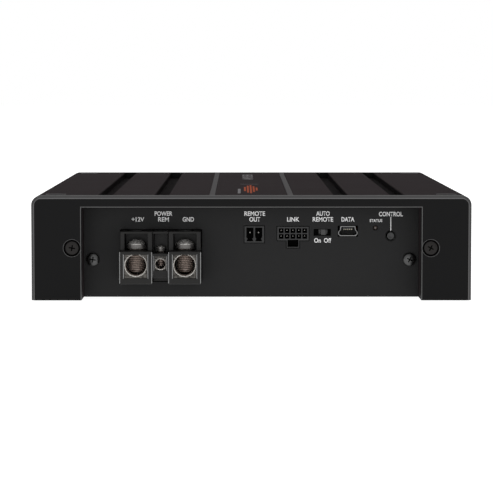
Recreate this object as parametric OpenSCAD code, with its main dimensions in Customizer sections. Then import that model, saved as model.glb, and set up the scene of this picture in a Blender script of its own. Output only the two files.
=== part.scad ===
// Car amplifier: an extruded heatsink case between two bevelled end frames, with recessed
// connector panels, cage-clamp power terminals and a circuit board hung under the deck.
// Millimetres. X runs across, Y from the control end (-) to the speaker end (+), Z up.
// The origin is on the base plane, at the middle of the case.

/* [Case] */
// Overall width
case_w = 184; // [180:1:200]
// Overall length, over both end frames
case_l = 228; // [216:1:260]
// Overall height
case_h = 43.8; // [43.2:0.1:46]
// Radius of the two long top edges
edge_r = 4; // [2.5:0.5:5]
// Thickness of the deck, and of each frame's lip
deck_t = 4.9; // [4.6:0.1:6]
// Width of the box along each side, and of each frame's pillars
side_w = 20.9; // [20:0.1:21.5]
// Thickness of each end frame
frame_t = 5; // [4:0.5:6]
// Bevel round the outer edge of each end frame
frame_bevel = 1.3; // [0.8:0.1:2]
// Depth of each panel behind its frame's face
recess_d = 15; // [14:0.5:16]
// Thickness of the two panels
panel_t = 1.6; // [1:0.1:1.6]
// Thickness of the bottom cover
cover_t = 1.5; // [1:0.1:2]

/* [Deck grooves] */
// Width of each groove
groove_w = 6; // [4:0.5:7]
// Depth of each groove
groove_d = 2.9; // [1:0.1:3]
// Distance of the inner grooves from the centre line
groove_x_in = 37.6; // [36:0.1:39]
// Distance of the outer grooves from the centre line
groove_x_out = 61.4; // [60:0.1:64]
// Distance of the trim strips from the centre line
trim_x = 16.45; // [14:0.05:20]
// Width of the trim strips
trim_w = 2.3; // [1:0.1:3]
// Thickness of the trim strips
trim_t = 0.8; // [0.5:0.1:1.2]

/* [Mounting holes] */
// Distance of the mounting holes from the centre line
mount_x = 82.5; // [82:0.5:85]
// Distance of the mounting holes from each end
mount_y = 13; // [11:0.5:20]
// Diameter of the mounting holes in the base
mount_d = 4.5; // [3.5:0.1:5]
// Diameter of the access holes in the deck
access_d = 7; // [6:0.5:7.5]

/* [Screws] */
// Distance of the frame screws from the centre line
frame_screw_x = 75; // [75:0.1:76]
// Height of the frame screws
frame_screw_z = 21.9; // [16:0.1:28]
// Distance of the panel screws from the centre line
panel_screw_x = 67.2; // [66:0.1:67.5]
// Height of the panel screws
panel_screw_z = 16; // [12:0.5:20]
// Diameter of the frame and panel screw heads
screw_head_d = 5.8; // [5:0.1:6]

/* [Power terminals] */
// Height of the supply and ground wire entries
wire_z = 14.5; // [14.3:0.1:14.6]
// Distance of the two large terminals either side of the small one
terminal_pitch = 10.25; // [10.2:0.05:10.4]
// Place of the small terminal across the case
terminal_x = -38.2; // [-42:0.1:-36]
// Diameter of the large wire entries
wire_d = 8.6; // [8:0.1:8.8]
// Diameter of the small wire entry
remote_wire_d = 4; // [3.5:0.1:4.2]
// Diameter of the large clamp screws' threads
clamp_d = 6.86; // [6:0.02:7]
// Diameter of the large clamp screws' heads
clamp_head_d = 8; // [7.5:0.1:8.1]

/* [Control end] */
// Place of the remote output header across the case
remote_out_x = 1.3; // [0:0.1:2]
// Place of the control port across the case
port_x = 17.7; // [16:0.1:19]
// Place of the switch window across the case
switch_x = 30.15; // [29.5:0.05:30.5]
// Travel of the slide switch
switch_travel = 2; // [1:0.1:2]
// Place of the data port across the case
data_x = 41; // [40:0.1:42]
// Place of the status light across the case
led_x = 52.7; // [51:0.1:53]
// Place of the button across the case
button_x = 59.2; // [58.5:0.1:59.5]
// Height of the button
button_z = 26; // [25:0.1:26]
// Diameter of the button
button_d = 3.15; // [2.5:0.05:3.4]

/* [Speaker end] */
// Contacts in the speaker header
speaker_ways = 10; // [8:1:10]
// Pitch of the speaker header
speaker_pitch = 5.08; // [5:0.01:5.08]
// Place of the speaker header across the case
speaker_x = -32; // [-34:0.5:-31]
// Contacts in the signal input header
input_ways = 8; // [6:1:8]
// Place of the signal input header across the case
input_x = 17; // [16:0.5:18]
// Place of the line input jacks across the case
jack_x = 48; // [47:0.5:49]

/* [Circuit board] */
// Height of the board's underside
board_z = 30.2; // [30.2:0.1:30.4]
// Thickness of the board
board_t = 1.6; // [1:0.1:1.6]
// Width of the board
board_w = 124; // [122:1:125]

/* [Hidden] */
$fn = 64;

end_y = case_l / 2;                       // outer face of each end frame
body_end = end_y - frame_t;               // end faces of the heatsink body
panel_face = end_y - recess_d;            // outer face of each panel
panel_back = panel_face - panel_t;
half_w = case_w / 2;
opening_x = half_w - side_w;              // half the clear width between the pillars
opening_z = case_h - deck_t;              // underside of the deck
side_wall = 2.6;                          // walls of the hollow side boxes
side_floor = 3;
rail_top = 6.5;                           // top of the rails that take the bottom cover
rail_w = 7.8;
boss_r = 3.4;                             // screw bosses along the extrusion
thread_r = 1.5;                           // M3 holes
shank_r = 1.45;                           // M3 screws, clear of their holes
hole_depth = 14;
gap = 0.2;                                // clearance round parts that pass through a panel
eps = 0.01;
mount_pts = [for (x = [-mount_x, mount_x], y = [mount_y - end_y, end_y - mount_y]) [x, y]];
cover_pts = [for (x = [-67.5, 67.5], y = [-panel_back + 9, 0, panel_back - 9]) [x, y]];

// Power terminals
supply_x = terminal_x - terminal_pitch;
ground_x = terminal_x + terminal_pitch;
bay_half = 6.85;                          // half width of a large bay's box
housing_half = terminal_pitch + bay_half;
housing_z = [6.7, 28.5];
ledge_z = 20.4;
housing_front = end_y - 1;
housing_step = 4.9;                       // how far the upper part stands behind the lower
housing_back = panel_back - 4.4;
skin = 0.6;                               // housing wall in front of the clamp blocks
middle_step = 2.5;                        // how far the middle bay stands back
middle_z = [9, 19.4];
middle_half = 2.93;
clamp_half = 4.93;
clamp_z = [8.9, 20.3];
clamp_window = [9.15, 19];
remote_clamp_half = 2.53;
remote_clamp_z = [12.1, 19.3];
remote_window = [12.3, 18.15];
remote_wire_z = 14.8;
clamp_slack = 0.05;                       // round the clamp blocks in their slots
clamp_front = housing_front - skin - clamp_slack;
clamp_back = housing_back - clamp_slack;
entry_chamfer = 0.45;
screw_y = housing_front - 9.8;            // axis of the clamp screws
window_top = 27.4;
screw_head_z = [20.9, 25.1];
screw_tip = 10.8;
remote_head_z = [19.8, 22.4];
remote_tip = 13.3;
remote_clamp_d = 2.6;
remote_head_d = 4;
thread_pitch = 0.8;
thread_slack = 0.08;
well_slack = 0.25;                        // round the heads in the housing

// Board and what it carries
board_top = board_z + board_t;
board_end = panel_back - 0.4;
spacer_pts = [for (x = [-27, 27], y = [-74, 0, 74]) [x, y]];
pad_t = 0.3;
pedestal_z = 36.6;                        // underside of the deck's thickened strips
transistor_x = 51;
transistor_y = [-60, -38, 38, 60];
led_z = 29.4;
switch_z = 27.5;
switch_half = 3.65;                       // half the switch window's width
slider_rest_x = switch_x - 0.6 + switch_travel / 2;

// --- shared shapes -------------------------------------------------------------------------

// A box given by its two corners
module span(a, b) {
    translate(a) cube(b - a);
}

// A box centred across X, from one Y and Z to another
module slab(x, half, y, z) {
    span([x - half, y[0], z[0]], [x + half, y[1], z[1]]);
}

module both_sides() {
    children();
    mirror([1, 0, 0]) children();
}

module both_ends() {
    children();
    mirror([0, 1, 0]) children();
}

// A cylinder along -Y, from y towards the control end
module rod_y(x, y, z, r, h) {
    translate([x, y, z]) rotate([90, 0, 0]) cylinder(r = r, h = h);
}

// A cone or cylinder along -Y
module cone_y(x, y, z, r_start, r_end, h) {
    translate([x, y, z]) rotate([90, 0, 0]) cylinder(r1 = r_start, r2 = r_end, h = h);
}

// The cross recess of a screw, cut down from z = 0
module cross_recess(size, depth) {
    for (turn = [0, 90])
        rotate([0, 0, turn])
            translate([-size / 2, -size / 10, -depth]) cube([size, size / 5, depth + 1]);
}

// Pan-head screw: its head above z = 0, its shank below
module pan_screw(head_d, head_h, length) {
    difference() {
        union() {
            intersection() {
                cylinder(r = head_d / 2, h = head_h);
                translate([0, 0, head_h - head_d * 0.75]) sphere(r = head_d * 0.75, $fn = 96);
            }
            translate([0, 0, -length]) cylinder(r = shank_r, h = length + eps);
        }
        translate([0, 0, head_h]) cross_recess(head_d * 0.62, head_h * 0.6);
    }
}

// Countersunk screw: its flat top at z = 0
module flat_screw(head_d, length) {
    cone_h = head_d / 2 - shank_r;
    difference() {
        union() {
            translate([0, 0, -cone_h]) cylinder(r1 = shank_r, r2 = head_d / 2, h = cone_h);
            translate([0, 0, -length]) cylinder(r = shank_r, h = length - cone_h + eps);
        }
        cross_recess(head_d * 0.56, 1);
    }
}

// A screw standing out of an end face at the control end
module facing_front(x, y, z) {
    translate([x, y, z]) rotate([90, 0, 0]) children();
}

// --- case ----------------------------------------------------------------------------------

// The solid outline of the case, from y0 to y1, with its two long top edges rounded
module case_block(y0, y1) {
    span([-half_w, y0, 0], [half_w, y1, case_h - edge_r]);
    span([edge_r - half_w, y0, 0], [half_w - edge_r, y1, case_h]);
    both_sides() rod_y(half_w - edge_r, y1, case_h - edge_r, edge_r, y1 - y0);
}

// Hollow inside a side box, round the frame screws' boss
module side_chamber() {
    difference() {
        span([opening_x + side_wall, -body_end - 1, side_floor],
             [half_w - side_wall, body_end + 1, opening_z]);
        rod_y(frame_screw_x, body_end + 2, frame_screw_z, boss_r, case_l);
        span([opening_x, -body_end - 2, frame_screw_z - 2],
             [frame_screw_x, body_end + 2, frame_screw_z + 2]);
    }
}

// Rails, bosses and transistor strips inside the main hollow, between the panels
module inner_ribs() {
    both_sides() {
        span([opening_x - rail_w, -panel_back, cover_t], [opening_x + 1, panel_back, rail_top]);
        rod_y(panel_screw_x, panel_back, panel_screw_z, boss_r, 2 * panel_back);
        span([panel_screw_x, -panel_back, panel_screw_z - 2.4],
             [opening_x + 1, panel_back, panel_screw_z + 2.4]);
        span([transistor_x - 8, -panel_back, pedestal_z],
             [transistor_x + 8, panel_back, opening_z + 1]);
    }
}

module heatsink_body() {
    color("#2b2829") difference() {
        union() {
            difference() {
                case_block(-body_end, body_end);
                span([-opening_x, -case_l, -1], [opening_x, case_l, opening_z]);
            }
            inner_ribs();
        }
        both_sides() {
            side_chamber();
            for (x = [groove_x_in, groove_x_out])
                slab(x, groove_w / 2, [-case_l, case_l], [case_h - groove_d, case_h + 1]);
            slab(trim_x, trim_w / 2, [-case_l, case_l], [case_h - trim_t, case_h + 1]);
        }
        for (p = mount_pts) translate([p[0], p[1], 0]) {
            translate([0, 0, -1]) cylinder(r = mount_d / 2, h = side_floor + 2);
            translate([0, 0, opening_z - 1]) cylinder(r = access_d / 2, h = deck_t + 2);
            translate([0, 0, case_h - 0.5])
                cylinder(r1 = access_d / 2, r2 = access_d / 2 + 0.6, h = 0.6);
        }
        both_sides() both_ends() {
            rod_y(frame_screw_x, -body_end + hole_depth, frame_screw_z, thread_r, hole_depth + 1);
            rod_y(panel_screw_x, -panel_back + hole_depth, panel_screw_z, thread_r, hole_depth + 1);
        }
        for (p = cover_pts) translate([p[0], p[1], 0]) cylinder(r = thread_r, h = rail_top + 1);
        for (p = spacer_pts) translate([p[0], p[1], opening_z - 1]) cylinder(r = thread_r, h = 4);
        both_sides() for (y = transistor_y)
            translate([transistor_x + 4.8, y, pedestal_z - 1]) cylinder(r = thread_r, h = 4.4);
    }
}

module trim_strips() {
    color("#5a585a") both_sides()
        slab(trim_x, trim_w / 2, [-body_end, body_end], [case_h - trim_t, case_h]);
}

// One end frame at the control end, bevelled round its outside edge
module end_frame() {
    bevel_y = frame_bevel - end_y;
    difference() {
        union() {
            case_block(bevel_y, -body_end);
            // sides, tapering to the front face
            linear_extrude(case_h - edge_r) polygon([
                [-half_w, bevel_y], [frame_bevel - half_w, -end_y],
                [half_w - frame_bevel, -end_y], [half_w, bevel_y]
            ]);
            // top, tapering to the front face
            translate([edge_r - half_w, 0, 0]) rotate([90, 0, 90])
                linear_extrude(case_w - 2 * edge_r) polygon([
                    [-end_y, 0], [bevel_y, 0], [bevel_y, case_h], [-end_y, case_h - frame_bevel]
                ]);
            both_sides() cone_y(half_w - edge_r, bevel_y, case_h - edge_r,
                                edge_r, edge_r - frame_bevel, frame_bevel);
        }
        span([-opening_x, -case_l, -1], [opening_x, case_l, opening_z]);
        both_sides() {
            rod_y(frame_screw_x, 0, frame_screw_z, thread_r, case_l);
            cone_y(frame_screw_x, 2.05 - end_y, frame_screw_z, thread_r, 3.55, 2.05);
            rod_y(frame_screw_x, -end_y + eps, frame_screw_z, 3.55, 1);
        }
    }
}

module front_frame() {
    color("#2a2a2a") end_frame();
}

module rear_frame() {
    color("#2a2a2a") mirror([0, 1, 0]) end_frame();
}

module frame_screws() {
    both_sides() facing_front(frame_screw_x, 0.55 - end_y, frame_screw_z)
        flat_screw(screw_head_d, 12);
}

module front_frame_screws() {
    color("#1a1a1a") frame_screws();
}

module rear_frame_screws() {
    color("#1a1a1a") mirror([0, 1, 0]) frame_screws();
}

// A plain panel at the control end, with its two screw holes
module panel_blank() {
    difference() {
        span([-opening_x, -panel_face, 0], [opening_x, -panel_back, opening_z]);
        both_sides() rod_y(panel_screw_x, 0, panel_screw_z, thread_r, case_l);
    }
}

module front_panel() {
    color("#303030") difference() {
        panel_blank();
        slab(terminal_x, housing_half + gap, [-case_l, 0], [housing_z[0] - gap, housing_z[1] + gap]);
        slab(remote_out_x, 4.2 + gap, [-case_l, 0], [23.1 - gap, 30.1 + gap]);
        slab(port_x, 6.7 + gap, [-case_l, 0], [24 - gap, 29.9 + gap]);
        slab(port_x, 2.7 + gap, [-case_l, 0], [20.9 - gap, 25]);
        slab(switch_x, switch_half, [-case_l, 0], [switch_z - 1.4, switch_z + 1.4]);
        slab(data_x, 4.1 + gap, [-case_l, 0], [25.9 - gap, 30.1 + gap]);
        rod_y(led_x, 0, led_z, 1.05, case_l);
        rod_y(button_x, 0, button_z, 2.3, case_l);
    }
}

module rear_panel() {
    color("#303030") difference() {
        mirror([0, 1, 0]) panel_blank();
        slab(speaker_x, speaker_half + gap, [0, case_l], [speaker_z[0] - gap, speaker_z[1] + gap]);
        slab(input_x, input_half + gap, [0, case_l], [input_z[0] - gap, input_z[1] + gap]);
        for (p = jack_pts) translate([p[0], case_l, p[1]]) rotate([90, 0, 0])
            cylinder(r = 4.9, h = case_l);
    }
}

module panel_screws() {
    both_sides() facing_front(panel_screw_x, -panel_face, panel_screw_z)
        pan_screw(screw_head_d - 0.2, 2, 10);
}

module front_panel_screws() {
    color("#3a3a3a") panel_screws();
}

module rear_panel_screws() {
    color("#3a3a3a") mirror([0, 1, 0]) panel_screws();
}

module bottom_cover() {
    color("#262626") difference() {
        span([-opening_x, -panel_back, 0], [opening_x, panel_back, cover_t]);
        for (p = cover_pts) translate([p[0], p[1], 0]) {
            translate([0, 0, -1]) cylinder(r = thread_r, h = cover_t + 2);
            cylinder(r1 = thread_r + 1.45, r2 = thread_r, h = 1.45);
        }
    }
}

module bottom_screws() {
    color("#1a1a1a") for (p = cover_pts) translate([p[0], p[1], 0.05]) rotate([180, 0, 0])
        flat_screw(5.6, 6);
}

// --- power terminals -----------------------------------------------------------------------

// The hollow of one bay: the clamp block's slot, its front window, the screw's window and well
module bay(x, half, front, z, entry_z, upper_half, head_r) {
    slot_x = half + clamp_slack;
    slab(x, slot_x, [front + skin, 0], [z[0] - clamp_slack, z[1] + clamp_slack]);
    slab(x, half, [-case_l, 0], entry_z);
    slab(x, upper_half, [-case_l, head_r + 0.6 - screw_y], [z[1] + 0.1, window_top]);
    translate([x, -screw_y, z[1] - 1]) cylinder(r = head_r + well_slack, h = 12);
}

// A large terminal's moulding: its box, and the part behind the ledge that runs into the case
module large_housing(side) {
    x = terminal_x + side * terminal_pitch;
    seam = terminal_x + side * (terminal_pitch - bay_half);
    outer = terminal_x + side * (housing_half - 0.15);
    color("#1e1e1e") difference() {
        union() {
            slab(x, bay_half, [-housing_front, -housing_back], [housing_z[0], ledge_z]);
            slab((seam + outer) / 2, abs(outer - seam) / 2,
                [housing_step - housing_front, -housing_back], housing_z);
        }
        bay(x, clamp_half, -housing_front, clamp_z, clamp_window, 4.82, clamp_head_d / 2);
    }
}

module supply_housing() {
    large_housing(-1);
}

module ground_housing() {
    large_housing(1);
}

module remote_housing() {
    half = terminal_pitch - bay_half;
    front = middle_step - housing_front;
    color("#1e1e1e") difference() {
        union() {
            slab(terminal_x, half, [front, -housing_back], middle_z);
            slab(terminal_x, half, [housing_step - housing_front, -housing_back],
                [middle_z[0], housing_z[1]]);
            slab(terminal_x, half, [-panel_face, -housing_back], housing_z);
        }
        bay(terminal_x, remote_clamp_half, front, remote_clamp_z, remote_window, middle_half,
            remote_head_d / 2);
    }
}

// A plated clamp block: wire entry from the front, screw thread from the top, solder tag behind.
// Past the entry's bore the hole is relieved by 0.2 mm, where the screw bears on the wire.
module clamp_block(x, half, z, front, entry_z, entry_r, screw_r) {
    relief_y = -screw_y - screw_r - 0.7;
    difference() {
        union() {
            slab(x, half, [-front, -clamp_back], z);
            slab(x, half - 1, [-clamp_back - eps, 1.5 - clamp_back], [z[0] + 2, board_z]);
        }
        rod_y(x, relief_y + eps, entry_z, entry_r, case_l);
        rod_y(x, -screw_y + screw_r + 1.6, entry_z, entry_r + 0.2, 2 * screw_r + 2.3);
        translate([x, -screw_y, entry_z]) cylinder(r = screw_r + thread_slack, h = 20);
        cone_y(x, -front + entry_chamfer, entry_z, entry_r, entry_r + entry_chamfer, entry_chamfer);
        rod_y(x, -front + eps, entry_z, entry_r + entry_chamfer, 1);
    }
}

module supply_clamp() {
    color("#b9b5ad") clamp_block(supply_x, clamp_half, clamp_z, clamp_front,
                                 wire_z, wire_d / 2, clamp_d / 2);
}

module ground_clamp() {
    color("#b9b5ad") clamp_block(ground_x, clamp_half, clamp_z, clamp_front,
                                 wire_z, wire_d / 2, clamp_d / 2);
}

module remote_clamp() {
    color("#b9b5ad") clamp_block(terminal_x, remote_clamp_half, remote_clamp_z,
                                 clamp_front - middle_step, remote_wire_z,
                                 remote_wire_d / 2, remote_clamp_d / 2);
}

// Radius of a shank at height up its rounded tip, where tip_r is the rounding
function tip_radius(r, tip_r, up) = up >= tip_r ? r : r - tip_r + sqrt(tip_r ^ 2 - (tip_r - up) ^ 2);

// Half the section of a threaded shank with a rounded tip, as points for rotate_extrude
function thread_points(r, depth, pitch, z0, z1) = let (turns = floor((z1 - z0) / pitch)) concat(
    [[0, z0], [r * 0.36, z0]],
    [for (i = [1 : 2 * turns]) let (up = i * pitch / 2)
        [tip_radius(r, r * 0.64, up) - (i % 2 == 0 ? depth : 0), z0 + up]],
    [[r - depth, z1], [0, z1]]
);

// A pan-head clamp screw with a hexagon socket, threaded down to its rounded tip
module clamp_screw(x, r, head_r, head_z, tip_z) {
    dome_r = head_r * 1.15;
    socket_r = head_r * 0.42;
    translate([x, -screw_y, 0]) difference() {
        union() {
            rotate_extrude() polygon(thread_points(r, r / 11, thread_pitch, tip_z, head_z[0] + 0.4));
            intersection() {
                translate([0, 0, head_z[0]]) cylinder(r = head_r, h = head_z[1] - head_z[0]);
                translate([0, 0, head_z[1] - dome_r]) sphere(r = dome_r, $fn = 96);
            }
        }
        translate([0, 0, head_z[1] - head_r * 0.5]) cylinder(r = socket_r, h = head_r, $fn = 6);
    }
}

module supply_screw() {
    color("#8f8a82")
        clamp_screw(supply_x, clamp_d / 2, clamp_head_d / 2, screw_head_z, screw_tip);
}

module ground_screw() {
    color("#8f8a82")
        clamp_screw(ground_x, clamp_d / 2, clamp_head_d / 2, screw_head_z, screw_tip);
}

module remote_screw() {
    color("#5f5c58")
        clamp_screw(terminal_x, remote_clamp_d / 2, remote_head_d / 2, remote_head_z, remote_tip);
}

// --- control end ---------------------------------------------------------------------------

// One cavity of a pluggable header, with its keyed foot; z is the header's underside
module keyed_cavity(x, z, half, height, y) {
    translate([x, y[1], z]) rotate([90, 0, 0]) linear_extrude(y[1] - y[0]) polygon([
        [-half, height - 0.6], [half, height - 0.6], [half, 2.3], [half * 0.62, 1.7],
        [half, 0.6], [-half, 0.6], [-half * 0.62, 1.7], [-half, 2.3]
    ]);
}

module remote_out_header() {
    color("#202020") difference() {
        slab(remote_out_x, 4.2, [-panel_face - 0.2, -panel_face + 9.2], [23.1, 30.1]);
        for (side = [-1, 1])
            keyed_cavity(remote_out_x + 1.85 * side, 23.1, 1.5, 7, [-case_l, -panel_face + 8]);
    }
}

module remote_out_pins() {
    color("#c9c4b8") for (side = [-1, 1])
        slab(remote_out_x + 1.75 * side, 0.45, [-panel_face + 1.4, -panel_face + 7.9], [26.9, 27.7]);
}

port_cell = 1.95;
port_pitch = 2.5;
port_rows = [25.75, 28.2];

module control_port() {
    color("#202020") difference() {
        union() {
            slab(port_x, 6.7, [-panel_face - 0.2, -panel_face + 9.6], [24, 29.9]);
            slab(port_x, 2.7, [-panel_face - 0.2, -panel_face + 9.6], [20.9, 24.5]);
        }
        for (column = [-2 : 2], z = port_rows)
            slab(port_x + column * port_pitch, port_cell / 2, [-case_l, -panel_face + 8.4],
                 [z - port_cell / 2, z + port_cell / 2]);
        slab(port_x, 2.3, [-case_l, -panel_face + 8.4], [21.3, 24.3]);
    }
}

module control_port_pins() {
    color("#c9c4b8") for (column = [-2 : 2], z = port_rows)
        slab(port_x + column * port_pitch, 0.32, [-panel_face + 1.8, -panel_face + 8.3],
             [z - 0.32, z + 0.32]);
}

module switch_body() {
    color("#1a1a1a") difference() {
        slab(switch_x, switch_half + 1.3, [-panel_back, -panel_back + 5.6], [25.2, board_z]);
        slab(switch_x, switch_half, [-case_l, -panel_back + 3.4], [switch_z - 1.4, switch_z + 1.4]);
    }
}

module switch_slider() {
    color("#3c3c3c") {
        slab(slider_rest_x, 1.9, [-panel_back + 0.9, -panel_back + 3.2],
             [switch_z - 1.2, switch_z + 1.2]);
        slab(slider_rest_x, 1, [-panel_face + 0.4, -panel_back + 1], [switch_z - 1.2, switch_z + 1.2]);
    }
}

// The outline of the data port, each edge moved in by inset
function port_outline(inset) = [
    [-3.15 + inset, 4.2 - inset], [-3.4 + inset, 2.5], [-4.1 + inset, 1.8], [-4.1 + inset, 0.8],
    [-3.3 + inset, inset], [3.3 - inset, inset], [4.1 - inset, 0.8], [4.1 - inset, 1.8],
    [3.4 - inset, 2.5], [3.15 - inset, 4.2 - inset]
];

module port_prism(inset, y) {
    translate([data_x, y[1], 25.9]) rotate([90, 0, 0])
        linear_extrude(y[1] - y[0]) polygon(port_outline(inset));
}

module data_port_shell() {
    color("#8c8c8c") difference() {
        port_prism(0, [-panel_face - 0.2, -panel_face + 8.4]);
        port_prism(0.35, [-case_l, -panel_face + 7.6]);
    }
}

module data_port_tongue() {
    color("#4a4a4a") {
        slab(data_x, 2.2, [-panel_face + 0.8, -panel_face + 7.6], [28.6, 29.5]);
        for (i = [-2 : 2])
            slab(data_x + i * 0.8, 0.18, [-panel_face + 1.2, -panel_face + 7.6], [28.4, 28.62]);
    }
}

module status_light() {
    color("#6b4a42") {
        rod_y(led_x, -panel_back + 0.2, led_z, 0.98, panel_t - 0.2);
        slab(led_x, 1.4, [-panel_back + 0.1, -panel_back + 3.2], [28, board_z]);
    }
}

module button_body() {
    color("#1e1e1e") difference() {
        union() {
            slab(button_x, 3, [-panel_back + 0.6, -panel_back + 4], [button_z - 3, button_z + 3]);
            for (x = [-2.2, 2.2])
                slab(button_x + x, 0.4, [-panel_back + 1.6, -panel_back + 3], [button_z, board_z]);
        }
        rod_y(button_x, -panel_back + 3.2, button_z, 1.9, 10);
    }
}

module control_button() {
    color("#3a3a3a") rod_y(button_x, -panel_back + 2.7, button_z, button_d / 2, panel_t + 2.9);
}

// --- speaker end ---------------------------------------------------------------------------

speaker_half = speaker_ways * speaker_pitch / 2 + 1;
speaker_z = [21.7, 30.1];
input_pitch = 3.5;
input_half = input_ways * input_pitch / 2 + 0.7;
input_z = [23.1, 30.1];
jack_z = 19;
jack_pts = [for (x = [jack_x - 7, jack_x + 7]) [x, jack_z]];
collar_r = 4.15;
collar_wall = 0.5;
shoulder = 1;                             // how far the jacks' plastic shoulders stand out
collar_l = 8;
contact_r = 1.65;

// An open shroud for a plug, its mouth at the speaker end
module plug_shroud(x, half, z, ways, pitch) {
    y = [panel_back - 8, panel_face + 0.6];
    difference() {
        slab(x, half, y, z);
        slab(x, half - 0.7, [y[0] + 1.6, case_l], [z[0] + 1.5, z[1] - 0.8]);
        for (i = [0 : ways - 1])
            slab(x + (i - (ways - 1) / 2) * pitch, pitch * 0.28, [y[0] + 1.6, case_l],
                 [z[0] + 0.6, z[0] + 2]);
    }
}

module pin_row(x, z, ways, pitch) {
    for (i = [0 : ways - 1])
        slab(x + (i - (ways - 1) / 2) * pitch, 0.5, [panel_back - 6.4, panel_face - 2.2],
             [z - 0.5, z + 0.5]);
}

module speaker_header() {
    color("#202020") plug_shroud(speaker_x, speaker_half, speaker_z, speaker_ways, speaker_pitch);
}

module speaker_pins() {
    color("#c9c4b8") pin_row(speaker_x, 26.4, speaker_ways, speaker_pitch);
}

module input_header() {
    color("#202020") plug_shroud(input_x, input_half, input_z, input_ways, input_pitch);
}

module input_pins() {
    color("#c9c4b8") pin_row(input_x, 27.2, input_ways, input_pitch);
}

// A block behind the panel, whose shoulders and contact sleeves reach out through it
module line_jack_block() {
    color("#242424") difference() {
        union() {
            slab(jack_x, 13.4, [panel_back - 11, panel_back], [jack_z - 6.5, board_z]);
            for (p = jack_pts) {
                rod_y(p[0], panel_face + shoulder, p[1], 4.7, 4);
                rod_y(p[0], panel_face + shoulder + collar_l - 1, p[1],
                      collar_r - collar_wall - 0.05, collar_l + 2);
            }
        }
        for (p = jack_pts)
            rod_y(p[0], panel_face + shoulder + collar_l, p[1], contact_r, 11);
    }
}

module line_jack_rings() {
    color("#b5b5b5") for (p = jack_pts) difference() {
        rod_y(p[0], panel_face + shoulder + collar_l, p[1], collar_r, collar_l);
        rod_y(p[0], case_l, p[1], collar_r - collar_wall, case_l);
    }
}

// --- inside --------------------------------------------------------------------------------

module main_board() {
    color("#1f4d36") difference() {
        span([-board_w / 2, -board_end, board_z], [board_w / 2, board_end, board_top]);
        for (p = spacer_pts) translate([p[0], p[1], board_z - 1]) cylinder(r = thread_r + 0.1, h = 4);
        both_sides() for (y = transistor_y)
            translate([transistor_x + 4.8, y, board_z - 1]) cylinder(r = 3.4, h = 4);
    }
}

module board_spacers() {
    color("#b08d4f") for (p = spacer_pts) translate([p[0], p[1], board_top]) difference() {
        union() {
            cylinder(r = 3, h = opening_z - board_top, $fn = 6);
            translate([0, 0, opening_z - board_top - eps]) cylinder(r = shank_r, h = 2.8);
        }
        translate([0, 0, -1]) cylinder(r = thread_r, h = 6);
    }
}

module board_screws() {
    color("#c4c4c4") for (p = spacer_pts) translate([p[0], p[1], board_z]) rotate([180, 0, 0])
        pan_screw(5.6, 2, 6);
}

module power_transistors() {
    color("#1c1c1c") both_sides() for (y = transistor_y) translate([transistor_x, y, 0]) {
        tab_z = pedestal_z - pad_t - 1.3;
        span([-6.2, -5, board_top + 0.1], [1.6, 5, tab_z + 0.6]);
        difference() {
            span([-5.6, -5, tab_z], [7.6, 5, tab_z + 1.3]);
            translate([4.8, 0, tab_z - 1]) cylinder(r = thread_r + 0.1, h = 4);
        }
        for (lead = [-2.54, 0, 2.54])
            span([-7, lead - 0.4, board_top], [-6.1, lead + 0.4, board_top + 2]);
    }
}

module thermal_pads() {
    color("#8f8fa0") both_sides() for (y = transistor_y) translate([transistor_x, y, 0]) difference() {
        span([-6, -5.4, pedestal_z - pad_t], [8, 5.4, pedestal_z]);
        translate([4.8, 0, pedestal_z - 1]) cylinder(r = thread_r + 0.1, h = 4);
    }
}

module transistor_screws() {
    color("#c4c4c4") both_sides() for (y = transistor_y)
        translate([transistor_x + 4.8, y, pedestal_z - pad_t - 1.3]) rotate([180, 0, 0])
            pan_screw(5.6, 2, 4);
}

toroid_pos = [34, -52];
toroid_z = [12, 28];
toroid_r = [9, 15.5];

module toroid_core() {
    color("#6f7d5a") translate([toroid_pos[0], toroid_pos[1], 0]) difference() {
        translate([0, 0, toroid_z[0]]) cylinder(r = toroid_r[1], h = toroid_z[1] - toroid_z[0]);
        translate([0, 0, toroid_z[0] - 1]) cylinder(r = toroid_r[0], h = toroid_z[1]);
    }
}

// Copper turns wrapped round the core, as one closed shell with a groove between turns
module toroid_winding() {
    wire = 1.6;
    turns = 36;
    color("#a5572e") translate([toroid_pos[0], toroid_pos[1], 0]) {
        difference() {
            translate([0, 0, toroid_z[0] - wire])
                cylinder(r = toroid_r[1] + wire, h = toroid_z[1] - toroid_z[0] + 2 * wire);
            translate([0, 0, toroid_z[0]]) difference() {
                cylinder(r = toroid_r[1], h = toroid_z[1] - toroid_z[0]);
                translate([0, 0, -1]) cylinder(r = toroid_r[0], h = toroid_z[1]);
            }
            translate([0, 0, toroid_z[0] - 3]) cylinder(r = toroid_r[0] - wire, h = toroid_z[1]);
            for (i = [0 : turns - 1]) rotate([0, 0, i * 360 / turns])
                translate([toroid_r[1] + wire, 0, toroid_z[0] - 3]) cylinder(r = 0.5, h = toroid_z[1]);
        }
        for (y = [-4, 4]) span([-toroid_r[1] - 0.6, y - 0.7, toroid_z[1] + wire - 0.2],
                               [-toroid_r[1] + 0.8, y + 0.7, board_z]);
    }
}

// [x, y, radius] of each supply capacitor, hanging from the board
capacitor_h = 21;
capacitors = [[-8, -62, 8], [9, -62, 8], [-8, -42, 8], [9, -42, 8], [-34, -58, 6.25], [-34, -42, 6.25]];

module supply_capacitors() {
    color("#20242c") for (c = capacitors) translate([c[0], c[1], board_z - capacitor_h]) {
        rotate_extrude() polygon([
            [0, 0.4], [c[2] - 1.4, 0.4], [c[2] - 1, 0], [c[2], 0.8], [c[2], capacitor_h - 3.4],
            [c[2] - 0.6, capacitor_h - 2.8], [c[2], capacitor_h - 2.2], [c[2], capacitor_h],
            [0, capacitor_h]
        ]);
    }
}

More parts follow.
